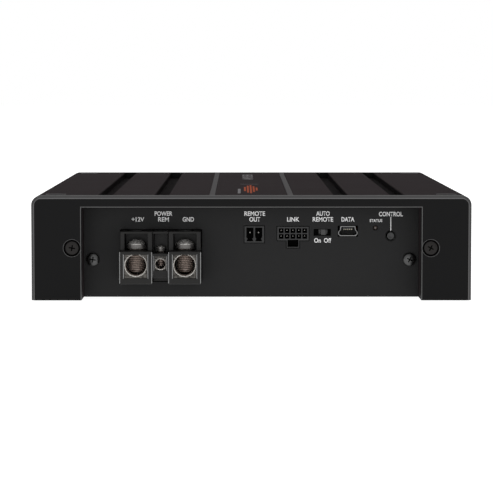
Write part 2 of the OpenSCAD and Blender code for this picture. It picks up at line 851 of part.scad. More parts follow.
choke_pts = [for (x = [-48, -29, -10, 9], y = [28, 50]) [x, y]];

module output_chokes() {
    choke = [16, 16, 13];
    color("#3a3c40") for (p = choke_pts) translate([p[0], p[1], board_z - choke[2]]) difference() {
        translate([-choke[0] / 2, -choke[1] / 2, 0]) cube(choke);
        for (turn = [45 : 90 : 315]) rotate([0, 0, turn])
            translate([10, -5, -1]) cube([5, 10, choke[2] + 2]);
        translate([0, 0, -1]) cylinder(r = 4.5, h = 1.6);
    }
}

module processor_chip() {
    color("#151515") {
        span([30, -10, board_z - 1.4], [44, 4, board_z]);
        for (i = [-7 : 7]) for (side = [-1, 1]) {
            span([37 + i * 0.85 - 0.2, -3 + side * 7.6 - 0.7, board_z - 0.3],
                 [37 + i * 0.85 + 0.2, -3 + side * 7.6 + 0.7, board_z]);
        }
    }
}

heatsink_body();
trim_strips();
front_frame();
rear_frame();
front_frame_screws();
rear_frame_screws();
front_panel();
rear_panel();
front_panel_screws();
rear_panel_screws();
bottom_cover();
bottom_screws();
supply_housing();
remote_housing();
ground_housing();
supply_clamp();
remote_clamp();
ground_clamp();
supply_screw();
remote_screw();
ground_screw();
remote_out_header();
remote_out_pins();
control_port();
control_port_pins();
switch_body();
switch_slider();
data_port_shell();
data_port_tongue();
status_light();
button_body();
control_button();
speaker_header();
speaker_pins();
input_header();
input_pins();
line_jack_block();
line_jack_rings();
main_board();
board_spacers();
board_screws();
power_transistors();
thermal_pads();
transistor_screws();
toroid_core();
toroid_winding();
supply_capacitors();
output_chokes();
processor_chip();
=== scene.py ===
import math

import bmesh
import bpy
from mathutils import Matrix, Vector


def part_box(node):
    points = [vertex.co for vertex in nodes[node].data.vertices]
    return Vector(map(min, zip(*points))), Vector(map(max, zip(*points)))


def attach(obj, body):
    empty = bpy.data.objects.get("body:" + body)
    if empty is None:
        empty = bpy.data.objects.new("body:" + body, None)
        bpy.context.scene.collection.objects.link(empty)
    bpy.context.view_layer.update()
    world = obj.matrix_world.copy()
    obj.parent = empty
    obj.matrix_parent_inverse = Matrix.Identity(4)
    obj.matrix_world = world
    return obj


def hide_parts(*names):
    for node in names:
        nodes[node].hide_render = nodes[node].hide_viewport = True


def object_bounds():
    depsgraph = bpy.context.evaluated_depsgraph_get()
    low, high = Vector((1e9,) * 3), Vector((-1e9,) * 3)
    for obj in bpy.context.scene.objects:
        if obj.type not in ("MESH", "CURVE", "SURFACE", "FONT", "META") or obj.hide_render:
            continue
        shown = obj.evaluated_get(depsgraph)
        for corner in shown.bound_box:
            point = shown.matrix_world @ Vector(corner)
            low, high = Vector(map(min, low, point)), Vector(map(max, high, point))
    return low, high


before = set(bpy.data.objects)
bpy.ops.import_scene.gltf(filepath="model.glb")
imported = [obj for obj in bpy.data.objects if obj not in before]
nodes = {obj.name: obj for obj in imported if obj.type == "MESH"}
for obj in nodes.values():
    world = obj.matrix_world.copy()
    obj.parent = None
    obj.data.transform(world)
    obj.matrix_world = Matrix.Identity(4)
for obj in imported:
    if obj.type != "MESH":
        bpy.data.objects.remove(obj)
cad_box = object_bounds()
stage = bpy.context.scene

# The studio: a long lens almost level with the case, on a white sweep that runs out of view
# behind it, under one wide softbox overhead and a weaker one in front.
lens = bpy.data.cameras.new("lens")
lens.sensor_width = 36.0
lens.lens = 159.8
camera = bpy.data.objects.new("camera", lens)
camera.location = (-0.0046, -1.0252, 0.0931)
camera.rotation_euler = (math.radians(85.72), 0.0, math.radians(-0.16))
stage.collection.objects.link(camera)
stage.camera = camera
stage.view_settings.view_transform = "Standard"


class Wire:
    """A node's output, on which operators add Math nodes and node() adds any other node."""

    def __init__(self, tree, socket=None):
        self.tree = tree
        self.socket = socket

    def node(self, kind, settings=None, sockets=None, output=0):
        made = self.tree.nodes.new(kind)
        for setting, value in (settings or {}).items():
            if setting == "stops":
                for place, colour in value:
                    made.color_ramp.elements.new(place).color = colour
                made.color_ramp.elements.remove(made.color_ramp.elements[0])
                made.color_ramp.elements.remove(made.color_ramp.elements[-1])
            else:
                setattr(made, setting, value)
        for name, value in (sockets or {}).items():
            if isinstance(value, Wire):
                self.tree.links.new(value.socket, made.inputs[name])
            else:
                made.inputs[name].default_value = value
        return Wire(self.tree, made.outputs[output] if made.outputs else None)

    def maths(self, operation, first, second):
        return self.node("ShaderNodeMath", {"operation": operation}, {0: first, 1: second})

    def __add__(self, other):
        return self.maths("ADD", self, other)

    def __radd__(self, other):
        return self.maths("ADD", other, self)

    def __sub__(self, other):
        return self.maths("SUBTRACT", self, other)

    def __rsub__(self, other):
        return self.maths("SUBTRACT", other, self)

    def __mul__(self, other):
        return self.maths("MULTIPLY", self, other)

    def __rmul__(self, other):
        return self.maths("MULTIPLY", other, self)

    def __gt__(self, other):
        return self.maths("GREATER_THAN", self, other)

    def __lt__(self, other):
        return self.maths("LESS_THAN", self, other)


def grey(level):
    """A neutral colour of one level."""
    return (level, level, level, 1.0)


room_light = 0.8
room = bpy.data.worlds.new("room")
room.use_nodes = True
stage.world = room
room.node_tree.nodes.clear()
air = Wire(room.node_tree)
seen = air.node("ShaderNodeLightPath")
room_tone = room_light + seen * (1.0 - room_light)
backdrop = air.node("ShaderNodeBackground", sockets={"Color": grey(1.0), "Strength": room_tone})
air.node("ShaderNodeOutputWorld", sockets={"Surface": backdrop})


def softbox(name, size, power, place, target):
    """A square area light of one size and power, aimed from its place at a target."""
    light = bpy.data.lights.new(name, "AREA")
    light.size = size
    light.energy = power
    lamp = bpy.data.objects.new(name, light)
    aim = Vector(target) - Vector(place)
    lamp.location = place
    lamp.rotation_euler = aim.to_track_quat("-Z", "Y").to_euler()
    stage.collection.objects.link(lamp)


softbox("overhead", 1.8, 9.0, (0.0, 0.5, 1.5), (0.0, 0.0, 0.0))
softbox("front", 0.6, 0.9, (-0.35, -1.7, 0.25), (0.0, 0.0, 0.02))


def solid(name, shape, shown=True):
    """The object made of a finished bmesh, in the scene unless it is only a tool."""
    mesh = bpy.data.meshes.new(name)
    shape.to_mesh(mesh)
    shape.free()
    made = bpy.data.objects.new(name, mesh)
    if shown:
        stage.collection.objects.link(made)
    return made


sweep_size = 6.0
sweep_drop = 0.0001
sweep = bmesh.new()
bmesh.ops.create_grid(sweep, x_segments=8, y_segments=8, size=sweep_size,
                      matrix=Matrix.Translation((0, 0, -sweep_drop)))
floor = solid("sweep", sweep)
paper = bpy.data.materials.new("sweep_paper")
paper.use_nodes = True
paper_shader = paper.node_tree.nodes["Principled BSDF"]
paper_shader.inputs["Base Color"].default_value = grey(0.35)
paper_shader.inputs["Roughness"].default_value = 0.9
paper_shader.inputs["Specular IOR Level"].default_value = 0.1
paper_shader.inputs["Emission Color"].default_value = grey(1.0)
paper_shader.inputs["Emission Strength"].default_value = 0.92
floor.data.materials.append(paper)


# The heatsink body: one black anodised aluminium extrusion, the deck with its four lengthwise
# grooves and a hollow box along each side. Die lines run its whole length. The deck is painted paler
# than the outer sides of the same anodising, a painted sheen; its grooves are painted dark as shade
# below their top 0.6 mm, and the access holes' chamfers are a cut grey lightened by painted sheen.
deck_tone = (0.0170, 0.0138, 0.0146, 1.0)
deck_light = (0.0260, 0.0212, 0.0224, 1.0)
deck_edge = 0.00035
deck_top = cad_box[1][2]
mount_hole = (0.0825, 0.101)
hole_rim = (0.0033, 0.0044)
groove_outer_x = 0.0665
deck_reach = 0.0035
groove_shadow = 0.0006
side_face_x = 0.091
print_gap = 0.00002
fine_share = 0.65
broad_mark = 1 / 38.0


def grained(name, dark, light, rough, grain, relief, metallic=0.0, level=0.5, stretch=(1, 1, 1),
            unshaded_mask=None, shade_share=0.3, contrast=1.0):
    """A finish whose fine grain shows in its tone, its gloss and its relief.

    grain is the size of the marks and relief their depth, in metres; stretch draws them out.
    unshaded_mask gives a mask from the start wire, and where it is 0 the tone is darkened to shade_share of
    the dark tone, a painted shade.
    contrast spreads the tones apart.
    """
    material = bpy.data.materials.new(name)
    material.use_nodes = True
    start = Wire(material.node_tree)
    place = start.node("ShaderNodeTexCoord", output=3)
    drawn = start.node("ShaderNodeMapping", sockets={"Vector": place, "Scale": stretch})
    fine = start.node("ShaderNodeTexNoise", sockets={"Vector": drawn, "Scale": 1 / grain, "Detail": 3.0})
    broad = start.node("ShaderNodeTexNoise", sockets={
        "Vector": place, "Scale": 1 / broad_mark, "Detail": 2.0})
    mark = (fine * fine_share + broad * (1 - fine_share) - 0.5) * contrast + 0.5
    tone = start.node("ShaderNodeMix", {"data_type": "RGBA"}, {0: mark, 6: dark, 7: light}, output=2)
    # Painted shade: where the mask is 0, the tone falls to a share of the dark tone.
    if unshaded_mask:
        painted_shade_tone = [channel * shade_share for channel in dark[:3]] + [1.0]
        tone = start.node("ShaderNodeMix", {"data_type": "RGBA"}, {0: unshaded_mask(start), 6: painted_shade_tone, 7: tone},
                          output=2)
    gloss = rough + (fine - 0.5) * 0.16 + (broad - 0.5) * 0.12
    normal = start.node("ShaderNodeBump", sockets={"Distance": relief, "Height": fine})
    shader = material.node_tree.nodes["Principled BSDF"]
    shader.inputs["Metallic"].default_value = metallic
    shader.inputs["Specular IOR Level"].default_value = level
    for socket, wire in (("Base Color", tone), ("Roughness", gloss), ("Normal", normal)):
        material.node_tree.links.new(wire.socket, shader.inputs[socket])
    return material


def shade(mesh, corner=40.0):
    """Smooth shading, broken at every edge sharper than corner degrees."""
    mesh.polygons.foreach_set("use_smooth", [True] * len(mesh.polygons))
    mesh.set_sharp_from_angle(angle=math.radians(corner))


def finished(piece):
    """A plain copy of a piece with its modifiers applied, in the piece's place."""
    ready = piece.evaluated_get(bpy.context.evaluated_depsgraph_get())
    mesh = bpy.data.meshes.new_from_object(ready)
    piece.modifiers.clear()
    piece.data = mesh
    return piece


def softened(node, width, chosen=None, corner=35.0, sink=0.0):
    """A merged copy of a CAD node, with its sharp edges rounded by width.

    chosen picks among the sharp edges by their middle; sink lowers the top to clear a print.
    """
    merge = 1e-6
    shape = bmesh.new()
    shape.from_mesh(nodes[node].data)
    bmesh.ops.remove_doubles(shape, verts=shape.verts, dist=merge)
    sharp = []
    for edge in shape.edges:
        middle = (edge.verts[0].co + edge.verts[1].co) / 2
        if edge.is_manifold and edge.calc_face_angle() > math.radians(corner):
            if chosen is None or chosen(middle):
                sharp.append(edge)
    bmesh.ops.bevel(shape, geom=sharp, offset=width, segments=2, profile=0.5, affect="EDGES",
                    clamp_overlap=False)
    top = max(vertex.co.z for vertex in shape.verts)
    for vertex in shape.verts:
        if vertex.co.z > top - merge:
            vertex.co.z -= sink
    piece = solid(node + "_piece", shape)
    shade(piece.data, 50.0)
    weighted = piece.modifiers.new("flat faces", "WEIGHTED_NORMAL")
    weighted.keep_sharp = True
    return finished(piece)


def settle(piece, material, *replaced, body="chassis"):
    """Gives a piece its finish and hands it to the frame in place of its CAD nodes."""
    piece.data.materials.clear()
    piece.data.materials.append(material)
    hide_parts(*replaced)
    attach(piece, body)


def dressed(node, width, material, body="chassis"):
    """A softened copy of a CAD node in one finish, already in the node's place."""
    piece = softened(node, width)
    settle(piece, material, node, body=body)
    return piece


def touched_up(piece, material, chosen):
    """Gives the faces of a piece that chosen picks, by normal and middle, one more finish."""
    piece.data.materials.append(material)
    for face in piece.data.polygons:
        if chosen(face.normal, face.center):
            face.material_index = len(piece.data.materials) - 1


def on_deck(point):
    """Whether a point is on the deck's top or in its grooves."""
    return point.z > deck_top - deck_reach


def groove_shade_mask(start):
    """A mask that is 1 on the deck's top and outboard of its outer grooves, and 0 in the grooves, where the
    tone is darkened as painted shade.
    """
    place = start.node("ShaderNodeTexCoord", output=3)
    across = start.node("ShaderNodeSeparateXYZ", sockets={"Vector": place})
    height = start.node("ShaderNodeSeparateXYZ", sockets={"Vector": place}, output=2)
    outboard = start.maths("ABSOLUTE", across, 0.0) > groove_outer_x
    return start.maths("MAXIMUM", height > deck_top - groove_shadow, outboard)


def round_access_hole(normal, middle):
    """Whether a face is on the chamfer where a mounting screw goes down through the deck."""
    off_axis = math.hypot(abs(middle.x) - mount_hole[0], abs(middle.y) - mount_hole[1])
    sloping = 0.2 < normal.z < 0.99 and middle.z > deck_top - 0.001
    return sloping and hole_rim[0] < off_axis < hole_rim[1]


def outer_side(normal, middle):
    """Whether a face is on one of the case's two long outer sides."""
    return abs(normal.x) > 0.7 and abs(middle.x) > side_face_x


# Painted sheen and shade: the deck's tone is paler than the sides' below, and its grooves are darkened.
anodised = grained("deck_anodising_painted_sheen_and_shade", deck_tone, deck_light, 0.7, 0.00022, 0.000006, level=0.002,
                   stretch=(1, 0.02, 1), unshaded_mask=groove_shade_mask)
side_painted_shade = grained("side_anodising_painted_shade", (0.0075, 0.0070, 0.0072, 1.0), (0.0125, 0.0118, 0.0120, 1.0),
                        0.5, 0.00022, 0.000008, level=0.05, stretch=(1, 0.02, 1))
# The access holes' chamfers: a cut grey, lightened further as painted sheen.
hole_chamfer_cut_and_sheen = grained("deck_hole_chamfer_painted_sheen", (0.050, 0.049, 0.050, 1.0), (0.085, 0.083, 0.085, 1.0), 0.45,
                  0.0001, 0.000003, level=0.02)
case = softened("heatsink_body", deck_edge, chosen=on_deck, sink=print_gap)
settle(case, anodised, "heatsink_body")
touched_up(case, side_painted_shade, outer_side)
touched_up(case, hole_chamfer_cut_and_sheen, round_access_hole)


# The two trim strips: thin grey anodised strips let into shallow grooves either side of the
# deck's centre line, brushed along their length.
strip_dark = (0.034, 0.032, 0.033, 1.0)
strip_light = (0.058, 0.055, 0.057, 1.0)
brushed = grained("strip_brushing", strip_dark, strip_light, 0.5, 0.00012, 0.000004, level=0.004,
                  stretch=(1, 0.01, 1))
for slot in nodes["trim_strips"].material_slots:
    slot.material = brushed


# The end frames: black anodised aluminium portals, 5 mm thick, that close the side boxes.
# Their outer bevels are cut after anodising and keep a satin grey, lightened further as painted
# sheen, with the strip next to the face painted paler still as a highlight; the opening's edge is
# broken, and its grey is likewise partly painted sheen. Each pillar is countersunk for a screw,
# and the countersink's cone is painted near-black as shade.
face_tone = (0.0034, 0.0034, 0.0036, 1.0)
face_light = (0.0062, 0.0062, 0.0065, 1.0)
# The bevel's and the broken edge's greys below: partly their cut finish, partly painted sheen.
bevel_sheen_tone = (0.020, 0.0195, 0.020, 1.0)
bevel_sheen_light = (0.033, 0.032, 0.033, 1.0)
broken_edge_sheen_tone = grey(0.060)
broken_edge_sheen_light = grey(0.110)
face_finish = grained("frame_anodising", face_tone, face_light, 0.5, 0.00018, 0.000006, level=0.1)
bevel_cut_and_sheen = grained("frame_bevel_cut_painted_sheen", bevel_sheen_tone, bevel_sheen_light, 0.42, 0.00015, 0.000004, metallic=0.3,
                     stretch=(0.05, 1, 1))
broken_edge_and_sheen = grained("frame_broken_edge_painted_sheen", broken_edge_sheen_tone, broken_edge_sheen_light, 0.4, 0.00015, 0.000004, metallic=0.3)
# The bevel's strip next to the face: a painted highlight.
bevel_rim_highlight = grained("frame_bevel_rim_painted_highlight", (0.070, 0.069, 0.070, 1.0), (0.105, 0.103, 0.105, 1.0), 0.4,
                     0.00015, 0.000004, metallic=0.3)
# The countersinks' cones: painted near-black as shade.
countersink_shade = grained("frame_countersink_painted_shade", grey(0.0008), grey(0.0016), 0.6, 0.00015, 0.000004,
                      level=0.02)
half_width = cad_box[1][0]
corner_radius = 0.004
frame_thickness = 0.005
frame_bevel = 0.0013
opening_edge = 0.00034
opening_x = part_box("front_panel")[1][0]
opening_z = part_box("front_panel")[1][2]
flat_head = 0.0029
frame_screw = (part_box("front_frame_screws")[1][0] - flat_head, 0.0219)
countersink = 0.00355
ring_edge = 0.0002


def portal_outline():
    """Points round a frame, each with its inward direction and whether it is on the outside."""
    points = []
    corner_x = half_width - corner_radius
    corner_z = deck_top - corner_radius
    corner_steps = 12
    for side in (-1, 1):
        foot = [((side * half_width, 0.0), (-side, 0.0))]
        turn = [((side * (corner_x + corner_radius * math.cos(angle)),
                  corner_z + corner_radius * math.sin(angle)),
                 (-side * math.cos(angle), -math.sin(angle)))
                for angle in (step * math.pi / 2 / corner_steps for step in range(corner_steps + 1))]
        outer = [(place, inward, True) for place, inward in foot + turn]
        points += outer if side < 0 else outer[::-1]
    points.append(((opening_x, 0.0), (1.0, 0.0), False))
    points.append(((opening_x, opening_z), (1.0, 1.0), False))
    points.append(((-opening_x, opening_z), (-1.0, 1.0), False))
    points.append(((-opening_x, 0.0), (-1.0, 0.0), False))
    return points


def portal(name, face_y, inward_y):
    """One frame: rings from its back, round its edges and to its face, closed at both ends."""
    outline = portal_outline()
    edge_steps = 4
    shape = bmesh.new()
    rings = []
    for level in range(-1, edge_steps + 1):
        ring = []
        for (x, z), (across, up), outer in outline:
            turn = max(level, 0) / edge_steps * math.pi / 2
            reach = frame_bevel if outer else opening_edge
            share = max(level, 0) / edge_steps if outer else 1 - math.cos(turn)
            depth = reach * (1 - (share if outer else math.sin(turn)))
            if level < 0:
                share, depth = 0.0, frame_thickness
            place = (x + across * reach * share, face_y + inward_y * depth, z + up * reach * share)
            ring.append(shape.verts.new(place))
        rings.append(ring)
    count = len(outline)
    for level, (low, high) in enumerate(zip(rings, rings[1:])):
        for step in range(count):
            after = (step + 1) % count
            side = shape.faces.new((low[step], low[after], high[after], high[step]))
            on_foot = outline[step][0][1] == 0.0 and outline[after][0][1] == 0.0
            if level > 0 and not on_foot:
                # The outer bevel's strip next to the face takes the painted highlight, its other strips the
                # bevel's grey; the opening's edge takes its own grey.
                side.material_index = (3 if level == edge_steps else 1) if outline[step][2] else 2
    shape.faces.new(rings[0])
    shape.faces.new(rings[-1])
    bmesh.ops.recalc_face_normals(shape, faces=shape.faces)
    piece = solid(name, shape)
    for material in (face_finish, bevel_cut_and_sheen, broken_edge_and_sheen, bevel_rim_highlight, countersink_shade):
        piece.data.materials.append(material)
    return piece


def turned(name, profile, steps=64, bands=()):
    """A solid turned round Z from (radius, height) points; bands name the slot of each stretch."""
    shape = bmesh.new()
    rim = [shape.verts.new((radius, 0, height)) for radius, height in profile]
    edges = [shape.edges.new(pair) for pair in zip(rim, rim[1:])]
    bmesh.ops.spin(shape, geom=rim + edges, cent=(0, 0, 0), axis=(0, 0, 1), angle=math.tau,
                   steps=steps, use_merge=True)
    bmesh.ops.remove_doubles(shape, verts=shape.verts, dist=1e-7)
    bmesh.ops.recalc_face_normals(shape, faces=shape.faces)
    for low, high, slot in bands:
        for facet in shape.faces:
            if low < facet.calc_center_median().z < high:
                facet.material_index = slot
    return solid(name, shape, shown=False)


def cut(piece, cutter, place):
    """Takes a cutter's solid out of a piece, with the cutter at a place."""
    cutter.data.transform(place)
    bite = piece.modifiers.new("cut", "BOOLEAN")
    bite.object = cutter
    bite.solver = "EXACT"
    finished(piece)
    cutter.data.transform(place.inverted())


screw_hole = 0.0015
past_face = 0.001
cone_depth = countersink - screw_hole
sink_profile = [(0, -frame_thickness * 2), (screw_hole, -frame_thickness * 2),
                (screw_hole, -cone_depth), (countersink, -ring_edge), (countersink + ring_edge, 0),
                (countersink + ring_edge, past_face), (0, past_face)]
# The cutter's cone gives slot 4, the countersink's painted shade, and its ring edge slot 2.
sinker = turned("countersink", sink_profile,
                bands=[(-frame_thickness, -ring_edge, 4), (-ring_edge, 0.0, 2)])
for end, face_y, inward_y in (("front_frame", cad_box[0][1], 1), ("rear_frame", cad_box[1][1], -1)):
    piece = portal(end + "_piece", face_y, inward_y)
    for x in (-frame_screw[0], frame_screw[0]):
        outward = Matrix.Rotation(inward_y * math.pi / 2, 4, "X")
        cut(piece, sinker, Matrix.Translation((x, face_y, frame_screw[1])) @ outward)
    shade(piece.data, 30.0)
    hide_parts(end)
    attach(piece, "chassis")


# The two connector panels: flat steel sheets with a fine black powder coat, cut out for each
# connector. Each closes one end of the case and is held by two screws.
sheet_edge = 0.00015
panel_tone = (0.0095, 0.0095, 0.0098, 1.0)
panel_light = (0.0145, 0.0145, 0.0149, 1.0)
panel_finish = grained("panel_powder", panel_tone, panel_light, 0.52, 0.00028, 0.000014, level=0.18)
for sheet in ("front_panel", "rear_panel"):
    dressed(sheet, sheet_edge, panel_finish)


# The bottom cover: a flat steel sheet in the same coat, let in flush with the base and held by
# six countersunk screws.
dressed("bottom_cover", sheet_edge, panel_finish)


# The screws: M3 with cross recesses, countersunk in the frames and the cover, pan headed on the
# panels. Each was driven home at its own angle. The tree cuts the recess and sets them out.
def new_tree(name, inputs):
    """A geometry tree with named inputs; gives the tree and a wire for each input."""
    tree = bpy.data.node_groups.new(name, "GeometryNodeTree")
    tree.interface.new_socket("Geometry", in_out="INPUT", socket_type="NodeSocketGeometry")
    tree.interface.new_socket("Geometry", in_out="OUTPUT", socket_type="NodeSocketGeometry")
    for label, kind in inputs.items():
        tree.interface.new_socket(label, in_out="INPUT", socket_type="NodeSocket" + kind)
    entry = tree.nodes.new("NodeGroupInput")
    return tree, {socket.name: Wire(tree, socket) for socket in entry.outputs}


def end_tree(instances, material):
    """Ends a tree: real meshes from its instances, in one material."""
    real = instances.node("GeometryNodeRealizeInstances", sockets={"Geometry": instances})
    dressed = real.node("GeometryNodeSetMaterial", sockets={"Geometry": real, "Material": material})
    dressed.node("NodeGroupOutput", sockets={"Geometry": dressed})


def grown(name, points, tree, sizes, corner=40.0):
    """The plain mesh piece that a tree makes on a list of points."""
    mesh = bpy.data.meshes.new(name)
    mesh.from_pydata(points, [], [])
    piece = bpy.data.objects.new(name, mesh)
    stage.collection.objects.link(piece)
    modifier = piece.modifiers.new("grown", "NODES")
    modifier.node_group = tree
    keys = {item.name: item.identifier for item in tree.interface.items_tree if item.in_out == "INPUT"}
    for label, value in sizes.items():
        modifier[keys[label]] = value
    finished(piece)
    shade(piece.data, corner)
    return piece


screw_tree, given = new_tree("screws", {
    "Blank": "Object", "Recess width": "Float", "Recess depth": "Float", "Head height": "Float",
    "Turn": "Vector", "Seed": "Int", "Finish": "Material"})
blank = given["Blank"].node("GeometryNodeObjectInfo", sockets={"Object": given["Blank"]}, output=4)
blades = []
for quarter in (0.0, math.pi / 2):
    wedge = blank.node("GeometryNodeMeshCone", sockets={
        "Vertices": 4, "Radius Top": 0.7, "Radius Bottom": 0.28, "Depth": 2.0})
    square = blank.node("GeometryNodeTransform", sockets={
        "Geometry": wedge, "Rotation": (0.0, 0.0, math.pi / 4)})
    size = blank.node("ShaderNodeCombineXYZ", sockets={
        "X": given["Recess width"], "Y": given["Recess width"] * 0.2, "Z": given["Recess depth"]})
    lift = blank.node("ShaderNodeCombineXYZ", sockets={
        "Z": given["Head height"] - given["Recess depth"]})
    blades.append(blank.node("GeometryNodeTransform", sockets={
        "Geometry": square, "Scale": size, "Translation": lift}))
    blades[-1] = blank.node("GeometryNodeTransform", sockets={
        "Geometry": blades[-1], "Rotation": (0.0, 0.0, quarter)})
cross = blank.node("GeometryNodeMeshBoolean", {"operation": "UNION", "solver": "EXACT"}, {1: blades[0]})
screw_tree.links.new(blades[1].socket, cross.socket.node.inputs[1])
headed = blank.node("GeometryNodeMeshBoolean", {"operation": "DIFFERENCE", "solver": "EXACT"},
                    {0: blank, 1: cross})
stop = blank.node("FunctionNodeRandomValue", {"data_type": "FLOAT"},
                  {2: 0.0, 3: math.pi / 2, "Seed": given["Seed"]}, output=1)
spin = blank.node("ShaderNodeCombineXYZ", sockets={"Z": stop})
facing = blank.node("FunctionNodeEulerToRotation", sockets={"Euler": given["Turn"]})
driven = blank.node("FunctionNodeRotateRotation", {"rotation_space": "LOCAL"}, {
    "Rotation": facing, "Rotate By": blank.node("FunctionNodeEulerToRotation", sockets={"Euler": spin})})
set_out = blank.node("GeometryNodeInstanceOnPoints", sockets={
    "Points": given["Geometry"], "Instance": headed, "Rotation": driven, "Scale": (0.001, 0.001, 0.001)})
end_tree(set_out, given["Finish"])

# profiles in millimetres, from the tip to the middle of the head
shank = 1.4
flat_profile = [(0, -9), (1.0, -9), (shank, -8.4), (shank, -1.5), (2.68, -0.12), (2.75, 0.0),
                (2.6, 0.06), (1.6, 0.1), (0, 0.12)]
pan_profile = [(0, -9), (1.0, -9), (shank, -8.4), (shank, 0), (2.75, 0), (2.8, 0.08)]
pan_profile += [(2.8 * math.cos(step * math.pi / 16), 0.75 + 1.2 * math.sin(step * math.pi / 16))
                for step in range(8)] + [(0, 1.95)]
flat_blank = turned("flat_screw_blank", flat_profile)
pan_blank = turned("pan_screw_blank", pan_profile)
black_oxide = grained("screw_black_oxide", (0.006, 0.0052, 0.005, 1.0), (0.017, 0.0145, 0.0135, 1.0),
                      0.46, 0.0002, 0.000008, level=0.2)
black_nickel = grained("screw_black_nickel", grey(0.05), grey(0.13), 0.34, 0.0003, 0.000006,
                       metallic=1.0)
# Painted shade for the screws' cross recesses.
recess_painted_shade = grained("screw_recess_painted_shade", grey(0.001), grey(0.003), 0.5, 0.0002, 0.000004, level=0.05)
quarter_turn = math.pi / 2
front_face = cad_box[0][1]
rear_face = cad_box[1][1]
recess_depth = 1.5
recess_width = 3.7


def driven_screws(name, points, blank, turn, seed, material, head):
    """Screws of one kind at their points, with their recesses painted dark as shade."""
    outward = Matrix.Rotation(turn[0], 3, "X") @ Vector((0, 0, 1))
    seats = [Vector(point) for point in points]

    def in_recess(normal, middle):
        seat = min(seats, key=lambda place: (place - middle).length)
        height = (middle - seat).dot(outward) * 1000
        off_axis = (middle - seat - outward * height / 1000).length
        below_top = head - recess_depth - 0.1 < height < head
        sunk = normal.dot(outward) < 0.55 or height < head - 0.5
        return below_top and sunk and off_axis < recess_width / 2000

    piece = grown(name + "_piece", points, screw_tree, {
        "Blank": blank, "Recess width": recess_width, "Recess depth": recess_depth, "Head height": head,
        "Turn": turn, "Seed": seed, "Finish": material})
    settle(piece, material, name)
    touched_up(piece, recess_painted_shade, in_recess)


flat_top = 0.1
pan_top = 1.9
frame_screw_sink = 0.00067
pan_head = 0.0028
panel_depth = 0.015
panel_screw = (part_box("front_panel_screws")[1][0] - pan_head, 0.016)
for name, (beside, up), sink, blank_screw, material, head in (
        ("frame_screws", frame_screw, frame_screw_sink, flat_blank, black_oxide, flat_top),
        ("panel_screws", panel_screw, panel_depth, pan_blank, black_nickel, pan_top)):
    at_front = [(x, front_face + sink, up) for x in (-beside, beside)]
    at_rear = [(x, rear_face - sink, up) for x in (-beside, beside)]
    driven_screws("front_" + name, at_front, blank_screw, (quarter_turn, 0, 0), 3, material, head)
    driven_screws("rear_" + name, at_rear, blank_screw, (-quarter_turn, 0, 0), 8, material, head)
cover_screw_x = 0.0675
cover_screw_y = 0.0884
cover_screw_sink = 0.00018
cover_screws = [(x, y, cover_screw_sink) for x in (-cover_screw_x, cover_screw_x)
                for y in (-cover_screw_y, 0.0, cover_screw_y)]
driven_screws("bottom_screws", cover_screws, flat_blank, (math.pi, 0, 0), 5, black_oxide, flat_top)


# The printing: white silk-screened legends on the panels, and a plain emblem of five level bars
# with a word on the deck. The ink lies as a flat film on the finish under it.
ink_white = grained("legend_ink", grey(0.78), grey(0.88), 0.6, 0.0002, 0.000003)
ink_orange = grained("emblem_orange_ink", (0.19, 0.038, 0.016, 1.0), (0.28, 0.058, 0.022, 1.0), 0.6,
                     0.0002, 0.000003, level=0.004)
ink_grey = grained("emblem_grey_ink", (0.10, 0.097, 0.10, 1.0), (0.16, 0.155, 0.16, 1.0), 0.6, 0.0002,
                   0.000003, level=0.004)
cap_share = 0.73
stroke_share = 0.028


def lettering(words, cap, width):
    """The flat mesh of a word, its capitals cap high and the word width long, about its middle."""
    curve = bpy.data.curves.new(words, "FONT")
    curve.body = words
    curve.size = cap / cap_share
    curve.offset = cap * stroke_share
    curve.fill_mode = "FRONT"
    holder = bpy.data.objects.new(words, curve)
    stage.collection.objects.link(holder)
    mesh = bpy.data.meshes.new_from_object(holder.evaluated_get(bpy.context.evaluated_depsgraph_get()))
    bpy.data.objects.remove(holder)
    across = [vertex.co.x for vertex in mesh.vertices]
    squeeze = width / (max(across) - min(across))
    middle = (max(across) + min(across)) / 2
    mesh.transform(Matrix.Diagonal((squeeze, 1, 1, 1)) @ Matrix.Translation((-middle, -cap / 2, 0)))
    return mesh


def printed(name, parts, material, body="chassis"):
    """One piece of ink from (mesh, place) parts."""
    ink = bmesh.new()
    for mesh, place in parts:
        mesh.transform(place)
        ink.from_mesh(mesh)
    piece = solid(name, ink)
    piece.data.materials.append(material)
    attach(piece, body)


def bar(width, height):
    """A flat printed bar about its middle."""
    mesh = bpy.data.meshes.new("bar")
    w, h = width / 2, height / 2
    mesh.from_pydata([(-w, -h, 0), (w, -h, 0), (w, h, 0), (-w, h, 0)], [], [(0, 1, 2, 3)])
    return mesh


cap = 0.0019
legend_gap = 0.00003
panel_y = front_face + panel_depth - legend_gap
upright = Matrix.Rotation(quarter_turn, 4, "X")
lower_row = 0.03305
upper_row = 0.0355
front_words = [("12V", 0.0036, -0.0472, lower_row), ("POWER", 0.0075, -0.0372, upper_row),
               ("REM", 0.0046, -0.0372, lower_row), ("GND", 0.0048, -0.0267, lower_row),
               ("REMOTE", 0.0088, 0.0015, upper_row), ("OUT", 0.0046, 0.0015, lower_row),
               ("LINK", 0.0052, 0.0178, lower_row), ("AUTO", 0.0057, 0.0304, upper_row),
               ("REMOTE", 0.0087, 0.0304, lower_row), ("DATA", 0.0055, 0.0410, lower_row),
               ("CONTROL", 0.0101, 0.0592, 0.0353), ("On", 0.0028, 0.0281, 0.0241),
               ("Off", 0.0031, 0.0324, 0.0241)]
front_parts = [(lettering(words, cap, width), Matrix.Translation((x, panel_y, z)) @ upright)
               for words, width, x, z in front_words]
plus_place = Matrix.Translation((-0.0501, panel_y, lower_row)) @ upright
